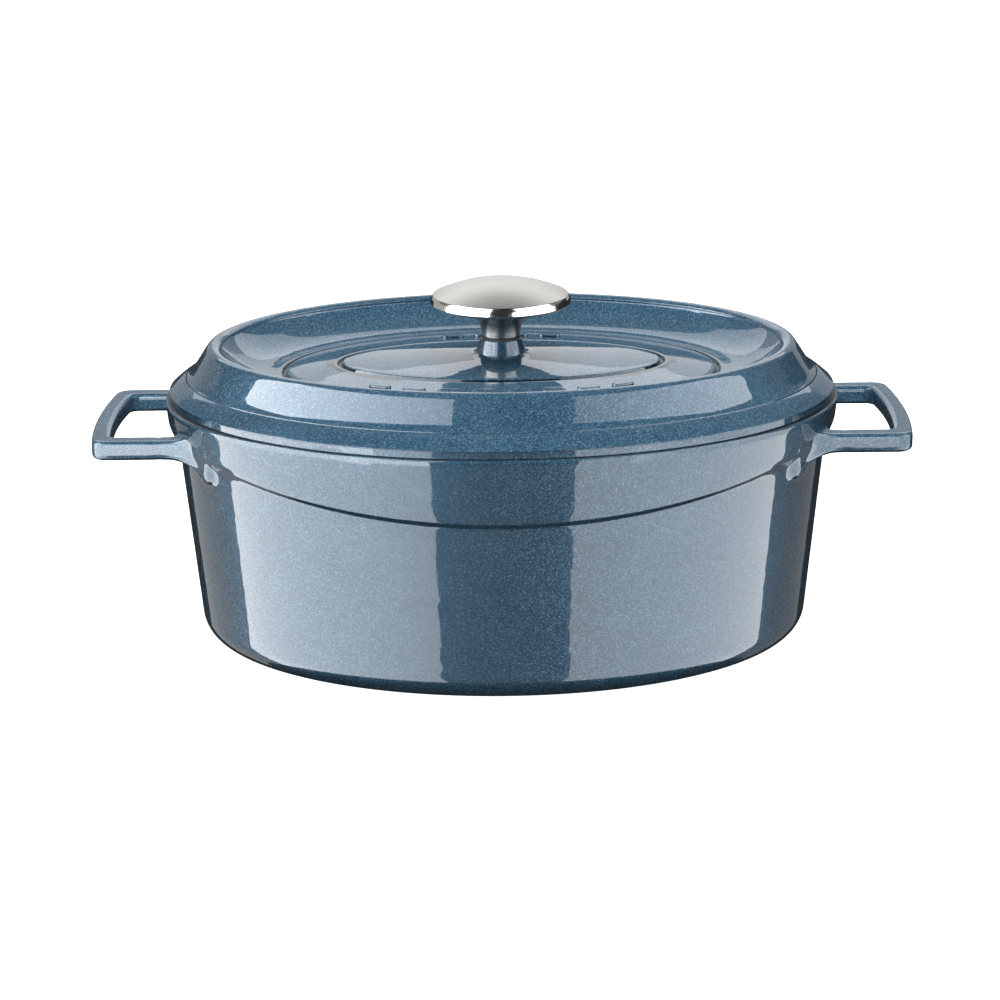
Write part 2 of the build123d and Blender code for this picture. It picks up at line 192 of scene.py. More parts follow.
def bend(points, per_corner=6, spacing=3.0):
    """A profile of (values..., round before, round after) with its corners rounded, sampled."""
    points = [np.array(p, float) for p in points]
    path = []
    for i, p in enumerate(points):
        here, before, after = p[:-2], p[-2], p[-1]
        if 0 < i < len(points) - 1 and before > 0:
            back, ahead = points[i - 1][:-2] - here, points[i + 1][:-2] - here
            start = here + back * before / np.linalg.norm(back)
            end = here + ahead * after / np.linalg.norm(ahead)
            for t in np.linspace(0, 1, per_corner):
                path.append((1 - t) ** 2 * start + 2 * t * (1 - t) * here + t ** 2 * end)
        else:
            path.append(here)
    dense = [path[0]]
    for p, q in zip(path[:-1], path[1:]):
        parts = max(1, int(np.linalg.norm(q - p) / spacing))
        dense += [p + (q - p) * (j + 1) / parts for j in range(parts)]
    return np.array(dense)


def capped(rings):
    """Points and faces of stacked rings, with one flat face over each end."""
    points, quads = stack(rings)
    n = len(rings[0])
    last = len(points) - n
    return points, [*map(list, quads), list(range(last, last + n)), list(range(n))[::-1]]


def add_mesh(name, points, faces, body, node):
    """A mesh object from points in millimetres, riding on a body in place of a CAD node."""
    mesh = bpy.data.meshes.new(name)
    mesh.from_pydata((np.asarray(points) * MM).tolist(), [], [list(map(int, f)) for f in faces])
    mesh.validate()
    mesh.shade_smooth()
    piece = bpy.data.objects.new(name, mesh)
    bpy.context.scene.collection.objects.link(piece)
    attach(piece, body)
    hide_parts(node)
    return piece


def smoothstep(t):
    """0 up to t = 0 and 1 from t = 1, with a soft rise between them."""
    t = np.clip(t, 0, 1)
    return t * t * (3 - 2 * t)


# ---- pot shape ------------------------------------------------------------------------------
def wall_a(z):
    """Half length of the plain wall at a height."""
    return FOOT_HALF_LENGTH + z * WALL_SLOPE


def arc_z(x):
    """Height of the band's lower edge above a point of the long axis."""
    x = np.clip(np.abs(x), 0, BAND_ARC_RADIUS)
    return BAND_MID_Z + BAND_ARC_RADIUS - np.sqrt(BAND_ARC_RADIUS ** 2 - x ** 2)


def step_span(x):
    """Bottom and height of the soft step under the band."""
    height = STEP_HEIGHT + STEP_GROWTH * smoothstep((np.abs(x) - STEP_GROWS_FROM) / STEP_GROWS_OVER)
    return arc_z(x) + STEP_TOP - height, height


def band_share(x, z):
    """0 on the plain wall, 1 on the band."""
    bottom, height = step_span(x)
    return smoothstep((z - bottom) / height)


def wall_row(z, share, angles):
    """A row of the outside, at this share of the way out from the plain wall to the band."""
    a = wall_a(z)
    return ring(a + BAND_END * share, a - OVAL_OFFSET + BAND_SIDE * share, z, angles)


def quarter_round(centre_a, centre_z, radius, start, end, count):
    """(half length, height) along an arc, by its angles in degrees."""
    t = np.radians(np.linspace(start, end, count))
    return np.column_stack([centre_a + radius * np.cos(t), centre_z + radius * np.sin(t)])


def pot_rows(angles):
    """All rows of the pot, from under its centre up the outside and down to the floor's centre.

    Also the number of the last row under the step, of the last under the rim and of the bare rim's.
    """
    rows = []

    def plain(pairs):
        rows.extend(ring(a, a - OVAL_OFFSET, z, angles) for a, z in pairs)

    foot_a = wall_a(FOOT_RADIUS) - FOOT_RADIUS / math.cos(math.atan(WALL_SLOPE))
    recess_a = FOOT_HALF_LENGTH - FOOT_RADIUS - FOOT_RING_INSET
    rows += [ring(recess_a * s, (recess_a - OVAL_OFFSET) * s, FOOT_RECESS, angles)
             for s in (0.04, 0.3, 0.6, 0.9)]
    plain([(recess_a - 0.8, FOOT_RECESS), (recess_a - 0.4, FOOT_RECESS * 0.85),
           (recess_a, FOOT_RECESS * 0.4), (recess_a + 0.4, 0.05), (recess_a + 1.0, 0.0)])
    drop = math.degrees(math.atan(WALL_SLOPE))
    plain(quarter_round(foot_a, FOOT_RADIUS, FOOT_RADIUS, -90, -drop, 16))
    start_z = rows[-1][0, 2]
    x = wall_a(STEP_GUESS_Z) * np.cos(angles)
    for _ in range(3):
        bottom, height = step_span(x)
        x = wall_a(bottom) * np.cos(angles)
    for i in range(1, WALL_ROWS + 1):
        rows.append(wall_row(start_z + (bottom - start_z) * i / WALL_ROWS, 0.0, angles))
    step_row = len(rows) - 1
    for i in range(1, STEP_ROWS + 1):
        t = i / STEP_ROWS
        rows.append(wall_row(bottom + height * t, smoothstep(t), angles))
    top = bottom + height
    edge = RIM_Z - RIM_ROUND
    for i in range(1, BAND_ROWS + 1):
        rows.append(wall_row(top + (edge - top) * i / BAND_ROWS, 1.0, angles))
    rim_row = len(rows) - 1
    outer_a, outer_b = wall_a(edge) + BAND_END, wall_a(edge) - OVAL_OFFSET + BAND_SIDE
    for t in np.radians(np.linspace(0, 90, RIM_ROWS + 1)[1:]):
        inward = RIM_ROUND * (1 - math.cos(t))
        rows.append(ring(outer_a - inward, outer_b - inward, edge + RIM_ROUND * math.sin(t), angles))
    inner = wall_a(RIM_Z) - WALL
    plain([(inner + 1.6, RIM_Z)])
    bare_row = len(rows) - 1
    plain(quarter_round(inner + RIM_INNER_ROUND, RIM_Z - RIM_INNER_ROUND, RIM_INNER_ROUND, 90, 180, 6))
    cavity_a = wall_a(FLOOR + CAVITY_RADIUS) - WALL - CAVITY_RADIUS
    low = FLOOR + CAVITY_RADIUS
    for z in np.linspace(RIM_Z - 4, low + 2, CAVITY_ROWS):
        plain([(wall_a(z) - WALL, z)])
    plain(quarter_round(cavity_a, low, CAVITY_RADIUS, 0, -90, 14))
    for s in (0.9, 0.7, 0.5, 0.3, 0.15, 0.04):
        rows.append(ring(cavity_a * s, (cavity_a - OVAL_OFFSET) * s, FLOOR, angles))
    return rows, step_row, rim_row, bare_row


def wall_distance(p):
    """Signed distance to the outside of the wall and band, to first order."""
    def level(q):
        share = band_share(q[:, 0], q[:, 2])
        a = wall_a(q[:, 2])
        return np.hypot(q[:, 0] / (a + BAND_END * share),
                        q[:, 1] / (a - OVAL_OFFSET + BAND_SIDE * share)) - 1
    return normalised(level, p)


def gradient(function, p, h=0.02):
    """Slope of a function at each point, by small steps of h along each axis."""
    g = np.empty_like(p)
    for axis in range(3):
        step = np.zeros(3)
        step[axis] = h
        g[:, axis] = (function(p + step) - function(p - step)) / (2 * h)
    return g


def normalised(function, p):
    """A level function divided by its slope, which is close to a distance near its zero."""
    slope = np.linalg.norm(gradient(function, p), axis=1)
    return function(p) / np.maximum(slope, 1e-9)


def flare(x, amount):
    """How much an arm has widened at x, an arc that starts tangent to the arm."""
    along = np.clip(FLARE_START - np.abs(x), 0, FLARE_LENGTH)
    radius = (FLARE_LENGTH ** 2 + amount ** 2) / (2 * amount)
    return radius - np.sqrt(radius ** 2 - along ** 2)


def arm_distance(p):
    """Signed distance to the nearer arm, which runs along X with flared sides."""
    def level(q):
        x, y, z = q[:, 0], np.abs(q[:, 1]), q[:, 2]
        outer = ARM_OUTER + flare(x, FLARE_OUT)
        top = HANDLE_TOP_Z + flare(x, FLARE_UP)
        bottom = HANDLE_TOP_Z - HANDLE_THICK - flare(x, FLARE_DOWN)
        dy = np.abs(y - (outer + ARM_INNER) / 2) - (outer - ARM_INNER) / 2 + HANDLE_EDGE
        dz = np.abs(z - (top + bottom) / 2) - (top - bottom) / 2 + HANDLE_EDGE
        outside = np.hypot(np.maximum(dy, 0), np.maximum(dz, 0))
        return outside + np.minimum(np.maximum(dy, dz), 0) - HANDLE_EDGE
    return normalised(level, p)


def joined_distance(p):
    """Smooth union of the wall and the arms."""
    wall, arm = wall_distance(p), arm_distance(p)
    near = np.maximum(ROOT_BLEND - np.abs(wall - arm), 0) / ROOT_BLEND
    return np.minimum(wall, arm) - near ** 3 * ROOT_BLEND / 6


def pull_to_surface(p, rounds):
    """Points moved onto the smooth union in a few short steps."""
    for _ in range(rounds):
        g = gradient(joined_distance, p, 0.05)
        size = np.maximum((g ** 2).sum(1), 0.25)
        move = -joined_distance(p)[:, None] * g / size[:, None]
        p = p + np.clip(move, -2.0, 2.0)
    return p


def section(outer, inner, top, bottom):
    """One ring of 2 x (ACROSS + UPRIGHT) points round an arm or bar, outer to inner point."""
    outer, inner = np.array(outer, float), np.array(inner, float)
    half_w = np.linalg.norm(outer - inner) / 2
    half_h = (top - bottom) / 2
    r = min(HANDLE_EDGE, half_w, half_h)
    centre, across = (outer + inner) / 2, (outer - inner) / (2 * half_w)
    eighth = math.radians(22.5)

    def side(length, parts):
        """Offsets along one side from one corner's middle to the next one's, and inwards."""
        rounds = [(length - r + r * math.sin(math.pi / 4 - i * eighth),
                   r - r * math.cos(math.pi / 4 - i * eighth)) for i in range(2)]
        flat = np.linspace(length - r, -(length - r), parts - 3)
        rest = [(-a, b) for a, b in reversed(rounds)]
        return rounds + [(f, 0.0) for f in flat] + rest[:-1]

    wide, tall = side(half_w, ACROSS), side(half_h, UPRIGHT)
    flat = [(u, half_h - d) for u, d in wide]
    flat += [(-half_w + d, v) for v, d in tall]
    flat += [(-u, -half_h + d) for u, d in wide]
    flat += [(half_w - d, -v) for v, d in tall]
    middle = (top + bottom) / 2
    return np.array([[*(centre + across * u), middle + v] for u, v in flat])


def corner_curve(start, corner, end, count):
    """A round corner as a cubic, without its first point."""
    start, corner, end = (np.array(p, float) for p in (start, corner, end))
    b, c = start + (corner - start) * ARC_HANDLE, end + (corner - end) * ARC_HANDLE
    t = np.linspace(0, 1, count + 1)[1:, None]
    return (1 - t) ** 3 * start + 3 * t * (1 - t) ** 2 * b + 3 * t ** 2 * (1 - t) * c + t ** 3 * end


def loop_side(y, reach, bow, radius, start_x):
    """Half of the loop's outline from an arm to the middle of the bar, on the +X, -Y side."""
    def bar_x(v):
        return reach - bow * (v / y) ** 2

    end_y = -(y - radius)
    lean = -2 * bow * end_y / y ** 2
    corner = (bar_x(end_y) - lean * radius, -y)
    arm = np.linspace(start_x, corner[0] - radius, ARM_RINGS)
    points = [np.column_stack([arm, np.full(ARM_RINGS, -y)])]
    points.append(corner_curve((arm[-1], -y), corner, (bar_x(end_y), end_y), CORNER_RINGS))
    bar = np.linspace(end_y, 0, BAR_RINGS)[1:]
    points.append(np.column_stack([bar_x(bar), bar]))
    return np.concatenate(points)


def loop_rings():
    """Rings of the +X handle from its -Y arm round to its +Y arm."""
    start_x = FLARE_START + 2
    outer = loop_side(ARM_OUTER, HANDLE_REACH, BAR_OUTER_BOW, CORNER_OUTER, start_x)
    inner = loop_side(ARM_INNER, WINDOW_REACH, BAR_INNER_BOW, CORNER_INNER, start_x)
    flip = np.array([1, -1])
    outer = np.concatenate([outer, outer[-2::-1] * flip])
    inner = np.concatenate([inner, inner[-2::-1] * flip])
    low = HANDLE_TOP_Z - HANDLE_THICK
    return [section(o, i, HANDLE_TOP_Z, low) for o, i in zip(outer, inner)]


def root_hole(rows, step_row):
    """Row and column limits of the hole that the -Y arm of the +X handle grows from."""
    y = rows[step_row + STEP_ROWS][:, 1]
    quarter = np.arange(3 * COLUMNS // 4, COLUMNS)
    middle = quarter[np.argmin(np.abs(y[quarter] + (ARM_OUTER + ARM_INNER) / 2 + 1.0))]
    columns = (middle - ACROSS // 2, middle + ACROSS - ACROSS // 2)
    low = step_row - HOLE_BELOW
    return (low, low + UPRIGHT), columns


def hole_border(rows_span, columns_span):
    """Wall points round the hole, as (row, column), from the outer top corner inwards."""
    (r0, r1), (c0, c1) = rows_span, columns_span
    border = [(r1, c) for c in range(c0, c1)]
    border += [(r, c1) for r in range(r1, r0, -1)]
    border += [(r0, c) for c in range(c1, c0, -1)]
    return border + [(r, c0) for r in range(r0, r1)]


def build_pot():
    """The whole casting as one closed mesh: wall rows, with a loop handle bridged in at each end."""
    angles = even_angles(wall_a(COLUMN_Z), wall_a(COLUMN_Z) - OVAL_OFFSET, COLUMNS)
    rows, step_row, rim_row, bare_row = pot_rows(angles)
    points, quads = stack(rows)
    span_r, span_c = root_hole(rows, step_row)
    border = hole_border(span_r, span_c)
    n = COLUMNS

    def mirrored(c):
        return (n - c) % n

    def turned(c):
        return (c + n // 2) % n

    holes = set()
    for row in range(*span_r):
        for c in range(*span_c):
            for column in (c, (mirrored(c) - 1) % n):
                holes |= {(row, column), (row, turned(column))}
    keep = np.array([(i // n, i % n) not in holes for i in range(len(quads))])
    lost = [r * n + column for r in range(span_r[0] + 1, span_r[1])
            for c in range(span_c[0] + 1, span_c[1])
            for column in (c, mirrored(c), turned(c), turned(mirrored(c)))]
    faces = [quads[keep]]
    new_points, roots = [points], []
    count = len(points)
    loop = loop_rings()
    size = len(loop[0])
    k = np.arange(size)
    for turn in (0, 1):
        spin = np.array([-1, -1, 1]) if turn else np.array([1, 1, 1])
        place = turned if turn else (lambda c: c)
        first = np.array([r * n + place(c % n) for r, c in border])
        last = np.array([r * n + place(mirrored(c)) for r, c in border])
        rings = [ring_points * spin for ring_points in loop]
        ids = [first]
        for index, (border_ids, near) in enumerate(((first, rings[0]), (last, rings[-1]))):
            wall_points = points[border_ids]
            between = [wall_points + (near - wall_points) * (j + 1) / (ROOT_RINGS + 1)
                       for j in range(ROOT_RINGS)]
            rings = between + rings if index == 0 else rings + between[::-1]
        for ring_points in rings:
            ids.append(count + k)
            new_points.append(ring_points)
            count += size
        ids.append(last)
        for low, high in zip(ids[:-1], ids[1:]):
            nxt = (k + 1) % size
            faces.append(np.column_stack([low, high, high[nxt], low[nxt]]))
        roots.append(ids)
    points = np.concatenate(new_points)
    faces = np.concatenate(faces)
    points = settle_roots(points, faces, roots, rim_row, len(rows) * n)
    return finish_pot(points, faces, len(rows) * n, bare_row, rim_row, lost)


def settle_roots(points, faces, roots, rim_row, wall_count):
    """Evens out the quads round the four arm roots and draws them onto the smooth union."""
    borders = np.unique(np.concatenate([ids[i] for ids in roots for i in (0, -1)]))
    outside = np.arange(len(points)) < rim_row * COLUMNS
    spread = np.full(len(points), np.inf)
    wall_ids = np.nonzero(outside & (np.abs(points[:, 0]) > ROOT_ZONE_X)
                          & (points[:, 2] > ROOT_ZONE_Z))[0]
    for chunk in np.array_split(wall_ids, 8):
        gap = np.linalg.norm(points[chunk, None] - points[None, borders], axis=2)
        spread[chunk] = gap.min(1)
    loop_ids = np.arange(wall_count, len(points))
    reach = np.abs(points[loop_ids, 0])
    relax = np.zeros(len(points))
    relax[wall_ids] = smoothstep(WALL_RELAX_LEAD - spread[wall_ids] / WALL_RELAX)
    relax[loop_ids] = smoothstep((FLARE_START + ARM_RELAX - reach) / ARM_RELAX)
    relax[wall_ids] *= smoothstep((RIM_Z - RIM_ROUND - points[wall_ids, 2]) / RIM_KEEP)
    draw = np.zeros(len(points), bool)
    draw[wall_ids] = spread[wall_ids] < WALL_DRAW
    draw[loop_ids] = reach < FLARE_START + ARM_DRAW
    move = np.nonzero(relax > 0)[0]
    pull = np.nonzero(draw)[0]
    edges = np.concatenate([faces[:, [i, (i + 1) % 4]] for i in range(4)])
    edges = np.unique(np.concatenate([edges, edges[:, ::-1]]), axis=0)
    degree = np.bincount(edges[:, 0], minlength=len(points)).astype(float)
    for _ in range(SETTLE_ROUNDS):
        total = np.zeros_like(points)
        for axis in range(3):
            total[:, axis] = np.bincount(edges[:, 0], weights=points[edges[:, 1], axis],
                                         minlength=len(points))
        mean = total / np.maximum(degree, 1)[:, None]
        points[move] += 0.5 * relax[move, None] * (mean[move] - points[move])
        points[pull] = pull_to_surface(points[pull], 2)
    points[pull] = pull_to_surface(points[pull], 6)
    return points


def finish_pot(points, faces, wall_count, bare_row, rim_row, lost):
    """Closes both centres, drops the points inside the holes and says which coat each face has."""
    k = np.arange(COLUMNS)
    low_centre, high_centre = len(points), len(points) + 1
    last = wall_count - COLUMNS
    points = np.vstack([points, [0, 0, FOOT_RECESS], [0, 0, FLOOR]])
    on_wall, row = faces[:, 0] < wall_count, faces[:, 0] // COLUMNS
    bare = (row >= rim_row + RIM_BARE_FROM) & (row <= bare_row)
    bare |= (row >= FOOT_BARE_ROWS[0]) & (row < FOOT_BARE_ROWS[1])
    kinds = np.where(on_wall & bare, BARE, np.where(on_wall & (row > bare_row), INNER, GLAZE)).tolist()
    face_list = [list(f) for f in faces]
    face_list += [[(i + 1) % COLUMNS, i, low_centre] for i in k]
    kinds += [GLAZE] * COLUMNS
    face_list += [[last + i, last + (i + 1) % COLUMNS, high_centre] for i in k]
    kinds += [INNER] * COLUMNS
    used = np.ones(len(points), bool)
    used[lost] = False
    renumber = np.cumsum(used) - 1
    face_list = [[renumber[v] for v in f] for f in face_list]
    piece = add_mesh("pot_casting", points[used], face_list, "pot", "pot_body")
    return piece, kinds


# ---- lid shape ---------------------------------------------------------------------------------
def outer_profile():
    """Skirt, lip, flange, slope and crest as (half length, height)."""
    return bend([
        (SKIRT_A - 1.2, RIM_Z + 0.1, 0, 0),
        (SKIRT_A, RIM_Z + 0.1, 0.7, 0.7),
        (SKIRT_A, SKIRT_TOP_Z, 0.2, 0.2),
        (LIP_A, SKIRT_TOP_Z + 0.3, 0.2, 0.4),
        (146.6, 119.3, 1.4, 1.4),
        (143.8, 121.3, 1.6, 1.8),
        (140.6, 122.9, 2.2, 2.2),
        (131.8, CREST_Z, 2.4, 1.6),
        (DISH_TOP[0] + 0.2, CREST_Z, 1.4, 1.6),
        (126.6, 134.6, 0, 0),
    ], per_corner=7, spacing=1.5)


def dish_profile():
    """(half length, half width, height) down the dish from its edge to its flat."""
    a0, b0, z0 = DISH
    a1, b1 = DISH_TOP
    rise = CREST_Z - z0
    sweep = 2 * math.atan2(rise, a1 - a0)
    rows = []
    for i in range(DISH_ROWS, -1, -1):
        angle = sweep * i / DISH_ROWS
        out = math.sin(angle) / math.sin(sweep)
        up = (1 - math.cos(angle)) / (1 - math.cos(sweep))
        rows.append((a0 + out * (a1 - a0), b0 + out * (b1 - b0), z0 + up * rise))
    return rows[2:]


def plateau_profile():
    """From the dish's flat over both grooves to the boss, as (half length, half width, height)."""
    points = []
    for a, b, z in GROOVES:
        w, d, s = GROOVE_WIDTH, GROOVE_DEPTH, SHOULDER
        points += [
            (a + 1.2, b + 1.2, z, 0.5, 0.5),
            (a, b, z - 0.1, 0.4, 0.4),
            (a - w * 0.4, b - w * 0.4, z - d, 0.5, 0.4),
            (a - w * 0.7, b - w * 0.7, z - d * 0.8, 0.4, 0.4),
            (a - w, b - w, z + STEP_UP * 0.55, 0.5, 0.8),
            (a - w - s, b - w - s, z + STEP_UP, 1.6, 1.6),
        ]
    points += [
        (BOSS_R + BOSS_SPREAD, BOSS_R + BOSS_SPREAD, BOSS_FOOT_Z, 5.0, 1.6),
        (BOSS_R, BOSS_R, BOSS_TOP, 0.6, 0.6),
        (HOLE_R, HOLE_R, BOSS_TOP, 0.3, 0.3),
    ]
    first = (DISH[0], DISH[1], DISH[2], 0, 0)
    return bend([first, *points, (HOLE_R, HOLE_R, PAD_Z, 0, 0)], per_corner=6, spacing=3.0)


def under_profile():
    """The lid's underside, from the hole outwards, as (half length, half width, height)."""
    inner = LOCATE_OUTER - LOCATE_WIDTH

    def oval(a, z, r=0.0):
        return (a, a - OVAL_OFFSET, z, r, r)

    return bend([
        (HOLE_R, HOLE_R, PAD_Z, 0, 0),
        (12.0, 12.0, PAD_Z, 0.6, 0.6),
        (12.6, 12.6, 125.4, 1.2, 1.2),
        (70.0, 34.3, 122.1, 6.0, 6.0),
        (94.1, 63.6, 118.8, 4.0, 4.0),
        (105.6, 75.1, 118.8, 4.0, 4.0),
        (119.0, 86.4, 122.6, 5.0, 5.0),
        oval(127.0, 130.6, 3.0),
        oval(136.4, 119.9, 3.0),
        oval(inner, 112.6, 1.5),
        oval(inner, RIM_Z - LOCATE_DEPTH, 1.0),
        oval(LOCATE_OUTER - 0.4, RIM_Z - LOCATE_DEPTH, 1.0),
        oval(LOCATE_OUTER, RIM_Z + 0.1, 0.5),
        oval(SKIRT_A - 1.3, RIM_Z + 0.1),
    ], per_corner=5, spacing=4.0)


def build_lid():
    """The lid casting as one closed mesh, with its bars and drip bumps, and each face's coat."""
    angles = even_angles(wall_a(COLUMN_Z), wall_a(COLUMN_Z) - OVAL_OFFSET, COLUMNS)
    rows = [ring(a, b, z, angles) for a, b, z in under_profile()[1:]]
    under = len(rows)
    rows += [ring(a, a - OVAL_OFFSET, z, angles) for a, z in outer_profile()]
    rows += [ring(a, b, z, angles) for a, b, z in dish_profile()]
    rows += [ring(a, b, z, angles) for a, b, z in plateau_profile()[1:]]
    points, quads = stack(rows, closed=True)
    row = quads[:, 0] // COLUMNS
    kinds = np.where(row < under - BARE_INSIDE, INNER, np.where(row < under + BARE_OUTSIDE, BARE, GLAZE))
    # Faces low in each groove get the darkened glaze: pooled glaze deepened into painted groove shade.
    for a, b, z in GROOVES:
        reach = np.hypot(points[:, 0] / a, points[:, 1] / b)[quads].mean(1)
        height = points[:, 2][quads].mean(1)
        kinds[(row > under) & (np.abs(reach - 1) < GROOVE_SHADE_REACH) & (height < z - GROOVE_SHADE_SINK)] = POOLED_AND_SHADED
    kinds = kinds.tolist()
    faces = [list(f) for f in quads]
    parts = [points]
    count = len(points)
    for bar_points, bar_faces, bar_kinds in [*bar_meshes(), *drip_meshes()]:
        parts.append(bar_points)
        faces += [[v + count for v in f] for f in bar_faces]
        kinds += bar_kinds
        count += len(bar_points)
    piece = add_mesh("lid_casting", np.concatenate(parts), faces, "lid", "lid")
    return piece, kinds


def plateau_z(x, y):
    """Height of the surface between the two grooves, over points of the frame's XY plane."""
    a0, b0, z0 = GROOVES[0]
    a1, b1, z1 = GROOVES[1]
    inset = GROOVE_WIDTH + SHOULDER
    a0, b0, z0 = a0 - inset, b0 - inset, z0 + STEP_UP
    share = np.linspace(0, 1, 200)
    a, b, z = a0 + (a1 - a0) * share, b0 + (b1 - b0) * share, z0 + (z1 - z0) * share
    level = np.hypot(x[:, None] / a, y[:, None] / b)
    best = np.argmin(np.abs(level - 1), axis=1)
    return z[best]


def bar_meshes():
    """Plain raised bars with soft edges, in front of the knob and behind it."""
    made = []
    a, b = BAR_OVAL
    t = np.linspace(0, 2 * math.pi, BAR_ROUND_COUNT, endpoint=False)
    radius = BAR_WIDTH / 2
    straight = np.sign(np.cos(t)) * (BAR_LENGTH / 2 - radius)
    outline = np.column_stack([np.cos(t) * radius + straight, np.sin(t) * radius])
    middles = np.column_stack([straight, np.zeros(BAR_ROUND_COUNT)])
    for side, count in ((-1, FRONT_BARS), (1, BACK_BARS)):
        for i in range(count):
            x = (i - (count - 1) / 2) * BAR_PITCH
            y = side * b * math.sqrt(1 - (x / a) ** 2)
            turn = math.atan2(-x * b ** 2, y * a ** 2)
            spin = np.array([[math.cos(turn), math.sin(turn)], [-math.sin(turn), math.cos(turn)]])
            rings = []
            for scale, rise in BAR_LEVELS:
                flat = (outline * scale + middles * (1 - scale)) @ spin + np.array([x, y])
                z = plateau_z(flat[:, 0], flat[:, 1]) + rise * BAR_RISE
                rings.append(np.column_stack([flat, z]))
            points, faces = capped(rings)
            sides = 2 * BAR_ROUND_COUNT
            # The bars' sides get the darkened glaze: painted shade along their flanks, partly pooled
            # glaze.
            made.append((points, faces, [POOLED_AND_SHADED] * sides + [GLAZE] * (len(faces) - sides)))
    return made


def drip_meshes():
    """Round bumps under the lid."""
    made = []
    t = np.linspace(0, 2 * math.pi, DRIP_COUNT, endpoint=False)
    for a, b, z, count in DRIP_OVALS:
        for i in range(count):
            angle = 2 * math.pi * (i + 0.5) / count
            x, y = a * math.cos(angle), b * math.sin(angle)
            rings = []
            for tilt in np.radians(DRIP_TILTS):
                r = DRIP_RADIUS * math.cos(tilt)
                height = np.full(DRIP_COUNT, z + DRIP_RADIUS * math.sin(tilt))
                rings.append(np.column_stack([x + r * np.cos(t), y + r * np.sin(t), height]))
            points, faces = capped(rings)
            made.append((points, faces, [INNER] * len(faces)))
    return made


# ---- knob ------------------------------------------------------------------------------------
def lathe(name, profile, node):
    """A turned piece of the knob from a closed profile of (radius, height), 0 being on the axis."""
    count = LATHE_COUNT
    t = np.linspace(0, 2 * math.pi, count, endpoint=False)
    points, faces, rings = [], [], []
    for r, z in profile:
        if r < 1e-6:
            rings.append([len(points)])
            points.append((0.0, 0.0, z))
        else:
            rings.append(list(range(len(points), len(points) + count)))
            points += [(r * math.cos(a), r * math.sin(a), z) for a in t]
    for low, high in zip(rings, rings[1:] + rings[:1]):
        if len(low) == 1 and len(high) == 1:
            continue
        for i in range(count):
            j = (i + 1) % count
            if len(low) == 1:
                faces.append([low[0], high[j], high[i]])
            elif len(high) == 1:
                faces.append([low[i], low[j], high[0]])
            else:
                faces.append([low[i], low[j], high[j], high[i]])
    return add_mesh(name, points, faces, "lid", node)


def build_knob():
    """The knob's cap with each face's finish, 1 where it is brushed, and its hollow stem."""
    top, under = CAP_HIGH[2], CAP_LOW[2]
    crown = [(CROWN_R * s, top - CROWN_RISE * s ** 2) for s in np.linspace(CROWN_EDGE, 0.0, CROWN_ROWS)]
    rim = bend([
        (18.2, under + 0.05, 0, 0),
        (30.6, under + 0.9, 0.4, 0.4),
        (31.8, under + 1.9, 0.5, 0.4),
        (31.2, under + 4.4, 0.5, 0.5),
        (CROWN_R, top - CROWN_RISE, 0.3, 0.3),
        (CROWN_R * CROWN_EDGE, top - CROWN_RISE * CROWN_EDGE ** 2, 0, 0),
    ], per_corner=5, spacing=1.2)
    cap = lathe("knob_cap_turned", [(0.0, under + 0.02), *rim[:-1], *crown], "knob_cap")
    brushed_from = (top - CROWN_RISE) * MM
    cap_kinds = [int(face.center.z > brushed_from) for face in cap.data.polygons]
    foot, high = STEM_LOW[2], STEM_HIGH[2]
    neck = foot + 0.5
    share = np.linspace(0, 1, STEM_ROWS)
    outside = [(STEM_WAIST_R + STEM_FLARE * t ** STEM_CURVE, neck + (high - neck) * t) for t in share]
    inside = [(r - STEM_WALL - STEM_WALL_GROWTH * t, z) for (r, z), t in zip(outside, share)]
    stem = [(STEM_HOLE, foot), (STEM_FOOT_R, foot), (STEM_WAIST_R - 0.15, foot + 0.15), *outside]
    stem += [*inside[:3:-1], (STEM_INSIDE_R, foot + STEM_FLOOR), (STEM_HOLE, foot + STEM_FLOOR)]
    return cap, cap_kinds, lathe("knob_stem_turned", stem, "knob_stem")


